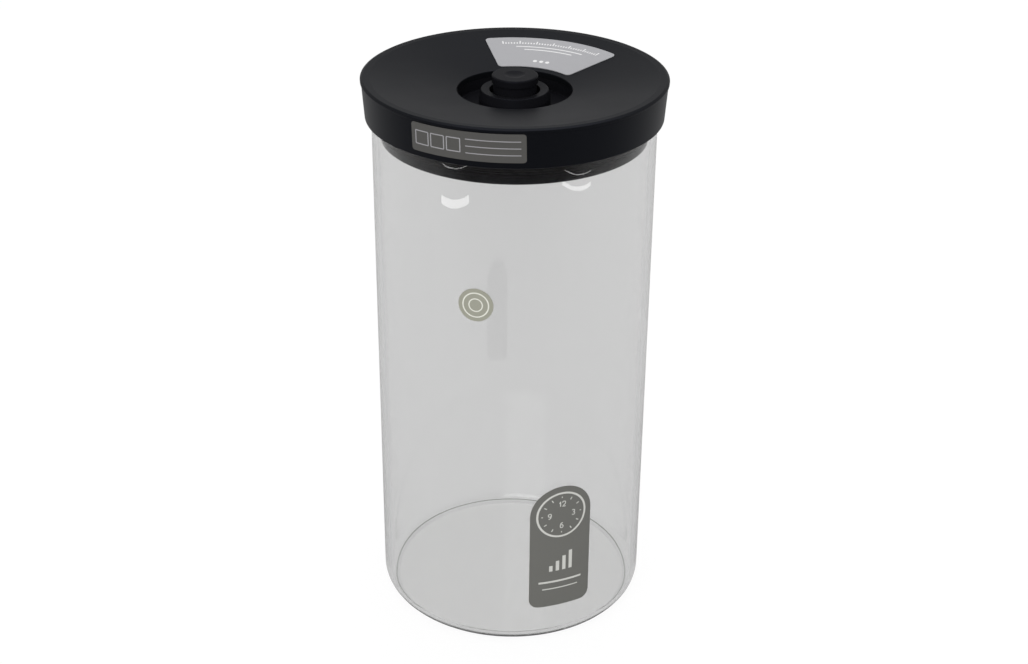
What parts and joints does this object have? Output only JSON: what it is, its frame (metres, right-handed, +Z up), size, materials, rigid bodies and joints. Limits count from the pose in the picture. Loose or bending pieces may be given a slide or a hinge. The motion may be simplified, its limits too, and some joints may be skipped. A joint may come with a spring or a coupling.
{
  "type": "vacuum seal canister",
  "caption": "Tall round glass storage canister with a black press-in lid, a dished top and a pull-up vacuum valve in a well.",
  "frame": {"origin": "middle of the jar's flat base, on the surface it stands on", "axes": "+Z up along the jar's axis, the front with the skirt label towards -Y, +X to the right of someone facing the front"},
  "size_m": [0.105, 0.105, 0.2026],
  "materials": {
    "glass": "clear borosilicate, pressed and fire polished",
    "black_abs": "fine matt moulded black",
    "black_abs_gloss": "satin moulded black",
    "black_silicone": "matt black silicone",
    "grey_felt": "pressed polyester felt",
    "stainless_steel": "drawn stainless steel",
    "silver_label": "silver polyester film",
    "grey_label": "grey polyester film",
    "warm_grey_label": "warm grey polyester film"
  },
  "bodies": {
    "jar": {"glass_jar": "glass", "capacity_panel": "warm_grey_label", "round_mark": "warm_grey_label"},
    "lid": {"lid_cover": "black_abs", "lid_skirt": "black_abs", "lid_plug": "black_abs", "seal_ring": "black_silicone", "valve_cup": "black_abs_gloss", "cup_seal": "black_silicone", "lid_screws": "stainless_steel", "filter_disc": "grey_felt", "filter_guard": "black_abs", "skirt_label": "grey_label", "top_label": "silver_label"},
    "valve": {"valve_button": "black_abs_gloss", "valve_stem": "stainless_steel", "valve_disc": "black_silicone", "stem_clip": "stainless_steel", "valve_spring": "stainless_steel"}
  },
  "joints": [
    {"name": "lid_lift", "type": "slide", "parent": "jar", "child": "lid", "axis": [0, 0, 1], "range_m": [0, 0.12]},
    {"name": "valve_lift", "type": "slide", "parent": "lid", "child": "valve", "axis": [0, 0, 1], "range_m": [0, 0.003], "stiffness_N_per_m": 150, "springref_m": -0.002, "deforming": ["valve_spring"]}
  ]
}
